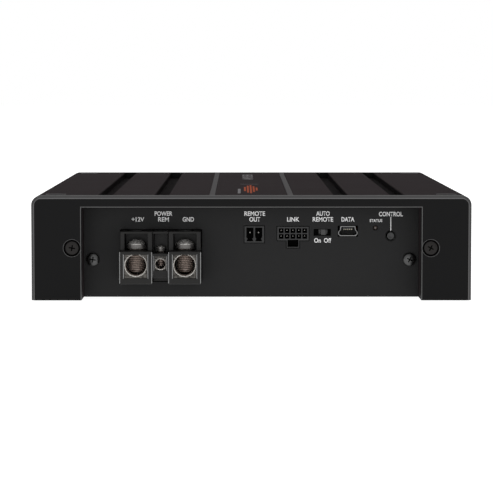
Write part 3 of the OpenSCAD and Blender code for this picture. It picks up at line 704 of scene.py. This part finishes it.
front_parts += [(bar(0.0013, 0.00034), plus_place), (bar(0.00034, 0.0013), plus_place)]
status_place = Matrix.Translation((0.0529, panel_y, 0.0325)) @ upright
front_parts.append((lettering("STATUS", 0.0012, 0.0053), status_place))
front_parts.append((bar(0.0003, 0.0058), Matrix.Translation((0.0592, panel_y, 0.0311)) @ upright))
printed("front_legends", front_parts, ink_white)

facing_rear = Matrix.Rotation(math.pi, 4, "Z") @ upright
rear_y = rear_face - panel_depth + legend_gap
rear_words = [("SPEAKER OUT", 0.0170, -0.0320, 0.0337), ("INPUT", 0.0075, 0.0170, 0.0337),
              ("LINE", 0.0056, 0.0480, 0.0270)]
rear_parts = [(lettering(words, cap, width), Matrix.Translation((x, rear_y, z)) @ facing_rear)
              for words, width, x, z in rear_words]
printed("rear_legends", rear_parts, ink_white)


def on_deck_at(x, from_front):
    """The place of a print on the deck, so far across and so far back from the front."""
    return Matrix.Translation((x, front_face + from_front, deck_top - print_gap / 2))


level_shares = (0.5, 0.85, 1.0, 0.7, 0.35)
level_pitch = 0.0013
first_level_x = -0.0026
tallest_level = 0.070
bars = [(bar(0.0008, tallest_level * share), on_deck_at(first_level_x + step * level_pitch, 0.056))
        for step, share in enumerate(level_shares)]
printed("deck_level_bars", bars, ink_orange)
along_deck = Matrix.Rotation(quarter_turn, 4, "Z")
deck_words = [(lettering("AMPLIFIER", 0.0052, 0.056), on_deck_at(-0.0012, 0.173) @ along_deck),
              (bar(0.0083, 0.0012), on_deck_at(-0.0004, 0.100)),
              (bar(0.0012, 0.038), on_deck_at(-0.0051, 0.0385))]
printed("deck_lettering", deck_words, ink_grey)


# The terminal housings: three black nylon mouldings side by side, each with a bay for its
# clamp. The rounded upright corners in front are painted pale grey and made glossier, a painted highlight.
nylon = grained("housing_nylon", (0.0055, 0.0053, 0.0050, 1.0), (0.0098, 0.0094, 0.0089, 1.0), 0.38,
                0.0004, 0.000006, level=0.24)
# The front corners' pale grey is a painted highlight.
corner_painted_highlight = grained("housing_corner_painted_highlight", grey(0.16), grey(0.34), 0.3, 0.0003, 0.000004, level=0.5)
ledge_z = 0.0206
lower_box_y = -0.1101


def front_corner(normal, middle):
    """Whether a face is on an upright rounded corner of a housing's lower box."""
    lower_box = middle.z < ledge_z and middle.y < lower_box_y
    return lower_box and abs(normal.x) > 0.3 and normal.y < -0.3 and abs(normal.z) < 0.2


for moulding in ("supply_housing", "remote_housing", "ground_housing"):
    housing = dressed(moulding, 0.0003, nylon)
    touched_up(housing, corner_painted_highlight, front_corner)


# The clamp blocks: nickel-plated brass, bored for the wire and tapped for the screw. The plating
# has gone dull and mottled, and the wire entries' chamfers stay bright.
dull_nickel = grained("clamp_dull_nickel", (0.008, 0.007, 0.006, 1.0), (0.125, 0.118, 0.108, 1.0), 0.44,
                      0.0007, 0.000016, metallic=0.8, contrast=3.4)
bore_nickel = grained("clamp_bore", (0.16, 0.135, 0.12, 1.0), (0.36, 0.32, 0.29, 1.0), 0.4, 0.0006,
                      0.000010, metallic=0.5, contrast=1.8)
bright_nickel = grained("clamp_bright_chamfer", (0.62, 0.60, 0.57, 1.0), (0.92, 0.90, 0.86, 1.0), 0.2,
                        0.0005, 0.000004, metallic=1.0)
chamfer_reach = 0.0007
bore_reach = 0.0004


def plated_clamp(block, entry_z, entry_r):
    """One block: dull outside, bright on its wire entry's chamfer and coppery in its bore."""
    entry_x = (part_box(block)[0][0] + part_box(block)[1][0]) / 2

    def off_axis(point):
        return math.hypot(point.x - entry_x, point.z - entry_z)

    def on_chamfer(normal, middle):
        at_rim = entry_r - 0.0001 < off_axis(middle) < entry_r + chamfer_reach
        return at_rim and -0.97 < normal.y < -0.2

    def in_bore(normal, middle):
        return off_axis(middle) < entry_r + bore_reach and abs(normal.y) < 0.2

    clamp = dressed(block, 0.00012, dull_nickel)
    touched_up(clamp, bright_nickel, on_chamfer)
    touched_up(clamp, bore_nickel, in_bore)


plated_clamp("supply_clamp", 0.0145, 0.0043)
plated_clamp("remote_clamp", 0.0148, 0.002)
plated_clamp("ground_clamp", 0.0145, 0.0043)


# The clamp screws: plated steel, with a rolled thread, a rounded tip and a domed head with a
# hexagon socket. Each rises and falls in its block. The thread's roots are painted dark as shade,
# and the head's side and its upturned dome are painted as a shaded and a lit copy of the plating.
thread_pitch = 0.0008
thread_turn_steps = 40
thread_pitch_steps = 8


# The crest attribute is 1 on the thread's crests and on the head and 0 in the roots, which the plating
# darkens as painted shade.
def on_crest(start):
    return start.node("ShaderNodeAttribute", {"attribute_name": "crest"}, output=2)


root_shaded_plating = grained("clamp_screw_plating", (0.60, 0.47, 0.41, 1.0), (0.92, 0.79, 0.71, 1.0), 0.3,
                        0.0004, 0.000006, metallic=0.45, unshaded_mask=on_crest, shade_share=0.10)
# The head's side and its upturned dome: a shaded and a lit copy of one plating, painted.
head_side_painted_shade = grained("clamp_screw_side_painted_shade", (0.10, 0.095, 0.09, 1.0), (0.26, 0.25, 0.24, 1.0), 0.45, 0.0005,
                    0.000010, metallic=0.7, contrast=2.0)
head_dome_painted_light = grained("clamp_screw_dome_painted_light", (0.20, 0.19, 0.18, 1.0), (0.85, 0.83, 0.80, 1.0), 0.24, 0.0007,
                    0.000020, metallic=0.7, contrast=2.8)


def threaded_shank(shape, radius, tip_z, top_z):
    """Adds a shank with a helical thread and a rounded tip to a mesh, about the Z axis."""
    crest_layer = shape.verts.layers.float.new("crest")
    tip_round = radius * 0.64
    thread_depth = radius / 11
    level_step = thread_pitch / thread_pitch_steps
    levels = int((top_z - tip_z) / level_step)
    rings = []
    for level in range(levels + 1):
        up = level * level_step
        reach = radius
        if up < tip_round:
            reach = radius - tip_round + math.sqrt(tip_round ** 2 - (tip_round - up) ** 2)
        ring = []
        for step in range(thread_turn_steps):
            turn = step / thread_turn_steps
            crest = abs(2 * ((up / thread_pitch - turn) % 1.0) - 1)
            across = max(reach - thread_depth * (1 - crest), radius * 0.2)
            angle = turn * math.tau
            vertex = shape.verts.new((across * math.cos(angle), across * math.sin(angle), tip_z + up))
            vertex[crest_layer] = crest
            ring.append(vertex)
        rings.append(ring)
    for low_ring, high_ring in zip(rings, rings[1:]):
        for step in range(thread_turn_steps):
            after = (step + 1) % thread_turn_steps
            shape.faces.new((low_ring[step], low_ring[after], high_ring[after], high_ring[step]))
    shape.faces.new(rings[0][::-1])
    shape.faces.new(rings[-1])
    return crest_layer


def domed_head(name, radius, bottom, top):
    """A domed head with a rounded rim and a hexagon socket, about the Z axis."""
    dome = radius * 1.15
    centre = top - dome
    rim_angle = math.acos(radius / dome)
    rim_z = centre + dome * math.sin(rim_angle)
    profile = [(0, bottom), (radius - 0.0002, bottom), (radius, bottom + 0.0002), (radius, rim_z)]
    arc_steps = 14
    for step in range(1, arc_steps + 1):
        angle = rim_angle + (math.pi / 2 - rim_angle) * step / arc_steps
        profile.append((dome * math.cos(angle), centre + dome * math.sin(angle)))
    profile[-1] = (0, top)
    head = turned(name, profile)
    stage.collection.objects.link(head)
    socket = bmesh.new()
    bmesh.ops.create_cone(socket, cap_ends=True, segments=6, radius1=radius * 0.42,
                          radius2=radius * 0.42, depth=radius)
    cut(head, solid("hexagon_key", socket, shown=False), Matrix.Translation((0, 0, top)))
    mesh = head.data
    bpy.data.objects.remove(head)
    return mesh


clamp_screws = (("supply_screw", 0.00343, 0.0209, 0.0251), ("remote_screw", 0.0013, 0.0198, 0.0224),
                ("ground_screw", 0.00343, 0.0209, 0.0251))
for threaded, shank_radius, head_bottom, head_top in clamp_screws:
    low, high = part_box(threaded)
    head_radius = (high[0] - low[0]) / 2
    shape = bmesh.new()
    crest_layer = threaded_shank(shape, shank_radius, low[2], head_bottom + 0.0004)
    shank_count = len(shape.verts)
    shape.from_mesh(domed_head(threaded + "_head", head_radius, head_bottom, head_top))
    shape.verts.ensure_lookup_table()
    for vertex in shape.verts[shank_count:]:
        vertex[crest_layer] = 1.0
    screw = solid(threaded + "_piece", shape)
    screw.data.transform(Matrix.Translation(((low[0] + high[0]) / 2, (low[1] + high[1]) / 2, 0)))
    shade(screw.data, 32.0)
    settle(screw, root_shaded_plating, threaded, body=threaded)
    above = head_bottom + 0.00005
    touched_up(screw, head_side_painted_shade, lambda normal, middle: middle.z > above and normal.z <= 0.25)
    touched_up(screw, head_dome_painted_light, lambda normal, middle: middle.z > above and normal.z > 0.25)


# The connectors' mouldings: glass-filled nylon in satin black. They hang under the board, with
# their mouths at the panels' cut-outs, and each is painted darker behind its mouth as shade.
moulded = grained("connector_moulding", (0.014, 0.014, 0.0145, 1.0), (0.024, 0.024, 0.0245, 1.0), 0.46,
                  0.00025, 0.000008, level=0.4)
# Painted shade for the mouldings behind their mouths.
mouth_painted_shade = grained("connector_mouth_painted_shade", grey(0.003), grey(0.006), 0.6, 0.00025, 0.000008, level=0.1)
mouth_depth = 0.0008
for moulding in ("remote_out_header", "control_port", "speaker_header", "input_header", "line_jack_block",
                 "switch_body", "button_body"):
    connector = dressed(moulding, 0.00008, moulded)
    low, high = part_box(moulding)
    touched_up(connector, mouth_painted_shade,
               lambda normal, middle: low[1] + mouth_depth < middle.y < high[1] - mouth_depth)


# The contact pins: square tinned brass, each with a tapered tip, standing in even rows in their
# headers. One tree makes every row.
tinned = grained("pin_tin", (0.20, 0.195, 0.18, 1.0), (0.40, 0.39, 0.365, 1.0), 0.38, 0.0003, 0.000005,
                 metallic=1.0)
pin_tree, given = new_tree("pins", {"Width": "Float", "Height": "Float", "Length": "Float",
                                    "Taper": "Float", "Turn": "Vector", "Finish": "Material"})
width, height, length, taper = (given[label] for label in ("Width", "Height", "Length", "Taper"))
shank_size = width.node("ShaderNodeCombineXYZ", sockets={"X": width, "Y": length - taper, "Z": height})
shank = width.node("GeometryNodeMeshCube", sockets={"Size": shank_size})
shank_place = width.node("ShaderNodeCombineXYZ", sockets={"Y": (length + taper) * 0.5})
shank = width.node("GeometryNodeTransform", sockets={"Geometry": shank, "Translation": shank_place})
tip = width.node("GeometryNodeMeshCone", sockets={
    "Vertices": 4, "Radius Top": 0.35, "Radius Bottom": 0.7071, "Depth": 1.0})
tip = width.node("GeometryNodeTransform", sockets={"Geometry": tip, "Rotation": (0, 0, math.pi / 4)})
tip_size = width.node("ShaderNodeCombineXYZ", sockets={"X": width, "Y": height, "Z": taper})
tip_place = width.node("ShaderNodeCombineXYZ", sockets={"Y": taper})
tip = width.node("GeometryNodeTransform", sockets={
    "Geometry": tip, "Scale": tip_size, "Rotation": (math.pi / 2, 0, 0), "Translation": tip_place})
pin = width.node("GeometryNodeJoinGeometry", sockets={0: shank})
pin_tree.links.new(tip.socket, pin.socket.node.inputs[0])
pins = width.node("GeometryNodeInstanceOnPoints", sockets={
    "Points": given["Geometry"], "Instance": pin, "Rotation": given["Turn"]})
end_tree(pins, given["Finish"])


def pin_row(name, columns, rows, size, taper, material, facing_front=True):
    """Pins of one (width, height, length) size at each column and row, within their node's box."""
    low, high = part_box(name)
    near = low[1] if facing_front else high[1]
    turn = (0.0, 0.0, 0.0) if facing_front else (0.0, 0.0, math.pi)
    piece = grown(name + "_piece", [(x, near, z) for x in columns for z in rows], pin_tree, {
        "Width": size[0], "Height": size[1], "Length": size[2], "Taper": taper, "Turn": turn,
        "Finish": material})
    settle(piece, material, name)


def spread(name, half, count):
    """Middles of count pins spread evenly over a node's width, each half a pin in from its ends."""
    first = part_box(name)[0][0] + half
    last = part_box(name)[1][0] - half
    return [first + (last - first) * step / (count - 1) for step in range(count)]


def level_of(name):
    return (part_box(name)[0][2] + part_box(name)[1][2]) / 2


pin_row("remote_out_pins", spread("remote_out_pins", 0.0004, 2), [level_of("remote_out_pins")],
        (0.0008, 0.0008, 0.0065), 0.0007, tinned)
pin_row("control_port_pins", spread("control_port_pins", 0.00032, 5), [0.02575, 0.0282],
        (0.00064, 0.00064, 0.0065), 0.0006, tinned)
pin_row("speaker_pins", spread("speaker_pins", 0.0005, 10), [level_of("speaker_pins")],
        (0.001, 0.001, 0.0058), 0.0008, tinned, facing_front=False)
pin_row("input_pins", spread("input_pins", 0.0005, 8), [level_of("input_pins")],
        (0.001, 0.001, 0.0058), 0.0008, tinned, facing_front=False)


# The data port: a drawn shell of tinned steel round a black tongue; the shell is painted dark inside
# as shade, with brighter tin at its rim. Five flat gold-plated contacts lie in a row under the tongue's
# front edge.
gilded = grained("contact_gold", (0.48, 0.44, 0.34, 1.0), (0.70, 0.65, 0.52, 1.0), 0.3, 0.0002,
                 0.000003, metallic=1.0)
# Painted shade for the shell's inside, which is the same tinned steel as its rim.
shell_painted_shade = grained("port_shell_painted_shade", grey(0.020), grey(0.045), 0.5, 0.0003, 0.000005, metallic=0.6)
shell_rim = grained("port_shell_rim", grey(0.14), grey(0.30), 0.35, 0.0003, 0.000004, metallic=1.0)
shell = dressed("data_port_shell", 0.00005, shell_painted_shade)
rim_depth = 0.0002
shell_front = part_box("data_port_shell")[0][1] + rim_depth
touched_up(shell, shell_rim, lambda normal, middle: normal.y < -0.6 and middle.y < shell_front)
dressed("data_port_tongue", 0.0001, moulded)
tongue_low, tongue_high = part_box("data_port_tongue")
contact_pitch = 0.0008
contact_x = (tongue_low[0] + tongue_high[0]) / 2
contact_proud = 0.00004
contact_lift = 0.0003
contact_points = [(contact_x + step * contact_pitch, tongue_low[1] - contact_proud,
                   tongue_low[2] + contact_lift) for step in range(-2, 3)]
contacts = grown("data_port_contacts", contact_points, pin_tree, {
    "Width": 0.0004, "Height": 0.0007, "Length": 0.005, "Taper": 0.0002, "Turn": (0.0, 0.0, 0.0),
    "Finish": gilded})
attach(contacts, "chassis")


# The switch's slider and the push button: black acetal. The slider has a finger ridge, and the
# button a broken edge round a shallow dish.
acetal = grained("control_acetal", (0.013, 0.013, 0.0135, 1.0), (0.025, 0.025, 0.0255, 1.0), 0.34,
                 0.0002, 0.000004, level=0.5)
slider = dressed("switch_slider", 0.0001, acetal, body="switch_slider")
worn_ridge = grained("slider_worn_ridge", grey(0.026), grey(0.050), 0.4, 0.0002, 0.000004, level=0.5)
ridge_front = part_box("switch_slider")[0][1] + rim_depth
touched_up(slider, worn_ridge, lambda normal, middle: middle.y < ridge_front)
button_low, button_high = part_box("control_button")
button_radius = (button_high[0] - button_low[0]) / 2
button_length = button_high[1] - button_low[1]
dish = 0.00022
button_profile = [(0, 0), (button_radius, 0), (button_radius, button_length - 0.0003),
                  (button_radius - 0.0001, button_length - 0.00008),
                  (button_radius - 0.0003, button_length)]
button_profile += [((button_radius - 0.00045) * share, button_length - dish * (1 - share ** 2))
                   for share in (1.0, 0.8, 0.6, 0.4, 0.2, 0.0)]
button = turned("control_button_piece", button_profile)
stage.collection.objects.link(button)
button_place = ((button_low[0] + button_high[0]) / 2, button_high[1],
                (button_low[2] + button_high[2]) / 2)
button.data.transform(Matrix.Translation(button_place) @ upright)
shade(button.data, 35.0)
settle(button, acetal, "control_button", body="control_button")


# The status light: a small lens cast in smoked epoxy, a round rod with a domed end that stands
# just inside its hole in the panel.
smoked = grained("status_lens", (0.055, 0.042, 0.037, 1.0), (0.095, 0.073, 0.064, 1.0), 0.22, 0.0003,
                 0.000002, level=0.8)
light_low, light_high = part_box("status_light")
lens_radius = 0.00098
lens_up = 0.0014
lens_middle = ((light_low[0] + light_high[0]) / 2, light_high[1], light_low[2] + lens_up)
lens_length = light_high[1] - light_low[1]
lens_profile = [(0, 0), (lens_radius, 0)]
lens_profile += [(lens_radius * math.cos(angle), lens_length - lens_radius * (1 - math.sin(angle)))
                 for angle in (step * math.pi / 20 for step in range(10))]
lens_profile.append((0, lens_length))
lens_shape = turned("status_light_piece", lens_profile)
stage.collection.objects.link(lens_shape)
lens_shape.data.transform(Matrix.Translation(lens_middle) @ upright)
shade(lens_shape.data, 35.0)
settle(lens_shape, smoked, "status_light")


# The line jacks' contact sleeves: turned brass collars, tinned, and pressed over the jack block's
# round shoulders. They come out through the rear panel.
dressed("line_jack_rings", 0.00012, tinned)


# The main board: one sheet of glass epoxy under green solder mask. It hangs from the deck on six
# brass spacers, each with its own zinc-plated screw.
mask_green = grained("solder_mask", (0.006, 0.040, 0.018, 1.0), (0.012, 0.075, 0.032, 1.0), 0.3, 0.0016,
                     0.00002, stretch=(1, 0.2, 1))
brass = grained("spacer_brass", (0.45, 0.30, 0.12, 1.0), (0.66, 0.48, 0.22, 1.0), 0.28, 0.0002,
                0.000004, metallic=1.0, stretch=(1, 1, 0.1))
zinc = grained("screw_zinc", (0.36, 0.37, 0.38, 1.0), (0.56, 0.57, 0.58, 1.0), 0.3, 0.0004, 0.000005,
               metallic=1.0)
dressed("main_board", 0.0001, mask_green)
dressed("board_spacers", 0.00015, brass)
dressed("board_screws", 0.00012, zinc)


# The power stage: eight epoxy-bodied transistors, each screwed up to the deck over a silicone pad
# that leads its heat away. The processor chip is cast in the same epoxy.
epoxy = grained("component_epoxy", (0.009, 0.009, 0.0095, 1.0), (0.022, 0.022, 0.0225, 1.0), 0.5,
                0.00016, 0.000012)
silicone = grained("pad_silicone", (0.20, 0.21, 0.25, 1.0), (0.30, 0.31, 0.36, 1.0), 0.62, 0.0003,
                   0.000015, level=0.3)
dressed("power_transistors", 0.00012, epoxy)
dressed("thermal_pads", 0.00005, silicone)
dressed("transistor_screws", 0.00012, zinc)
dressed("processor_chip", 0.00005, epoxy)


# The supply transformer: a coated ferrite ring under the board, wound with thirty-six even turns
# of enamelled copper wire.
ferrite = grained("core_coating", (0.13, 0.16, 0.09, 1.0), (0.22, 0.26, 0.15, 1.0), 0.5, 0.0005,
                  0.00002, level=0.4)
enamel = grained("winding_enamel", (0.30, 0.085, 0.030, 1.0), (0.50, 0.17, 0.07, 1.0), 0.26, 0.0003,
                 0.000004, metallic=0.6)
dressed("toroid_core", 0.0004, ferrite)
core_low, core_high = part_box("toroid_core")
core_radius = (core_high[0] - core_low[0]) / 2
core_hole = 0.009
wire_radius = 0.0007
coil_tree, given = new_tree("winding", {
    "Turns": "Int", "Ring radius": "Float", "Turn width": "Float", "Turn height": "Float",
    "Wire radius": "Float", "Finish": "Material"})
turns, wire = given["Turns"], given["Wire radius"]
stations = turns.node("GeometryNodeMeshCircle", sockets={"Vertices": turns, "Radius": given["Ring radius"]})
loop = turns.node("GeometryNodeCurvePrimitiveQuadrilateral", sockets={
    "Width": given["Turn width"], "Height": given["Turn height"]})
rounded = turns.node("GeometryNodeFilletCurve", {"mode": "POLY"}, {"Curve": loop, "Count": 5,
                                                                    "Radius": wire * 2.2})
section = turns.node("GeometryNodeCurvePrimitiveCircle", sockets={"Resolution": 8, "Radius": wire})
winding = turns.node("GeometryNodeCurveToMesh", sockets={"Curve": rounded, "Profile Curve": section})
standing = turns.node("GeometryNodeTransform", sockets={
    "Geometry": winding, "Rotation": (math.pi / 2, 0, 0)})
place = turns.node("GeometryNodeInputIndex")
angle = turns.maths("DIVIDE", place * math.tau, turns)
face_out = turns.node("ShaderNodeCombineXYZ", sockets={"Z": angle})
wound = turns.node("GeometryNodeInstanceOnPoints", sockets={
    "Points": stations, "Instance": standing, "Rotation": face_out})
end_tree(wound, given["Finish"])
core_height = core_high[2] - core_low[2]
coil = grown("toroid_winding_piece", [(0, 0, 0)], coil_tree, {
    "Turns": 36, "Ring radius": (core_radius + core_hole) / 2,
    "Turn width": core_radius - core_hole + 2 * wire_radius, "Turn height": core_height + 2 * wire_radius,
    "Wire radius": wire_radius, "Finish": enamel}, 60.0)
coil.data.transform(Matrix.Translation([(low + high) / 2 for low, high in zip(core_low, core_high)]))
settle(coil, enamel, "toroid_winding")


# The supply's six reservoir capacitors: aluminium cans in a dark shrunk sleeve. They hang under
# the board with their bare ends down.
sleeve = grained("capacitor_sleeve", (0.010, 0.014, 0.026, 1.0), (0.020, 0.027, 0.046, 1.0), 0.3,
                 0.0006, 0.000006)
can_metal = grained("capacitor_can", (0.50, 0.50, 0.51, 1.0), (0.68, 0.68, 0.69, 1.0), 0.3, 0.0003,
                    0.000006, metallic=1.0)
cans = dressed("supply_capacitors", 0.0002, sleeve)
can_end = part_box("supply_capacitors")[0][2] + 0.0006
touched_up(cans, can_metal, lambda normal, middle: middle.z < can_end and normal.z < -0.9)


# The output chokes: eight square blocks of moulded ferrite under the board, two for each of the
# four channels.
choke_ferrite = grained("choke_ferrite", (0.030, 0.031, 0.034, 1.0), (0.060, 0.062, 0.066, 1.0), 0.55,
                        0.0004, 0.00003, level=0.4)
dressed("output_chokes", 0.0003, choke_ferrite)
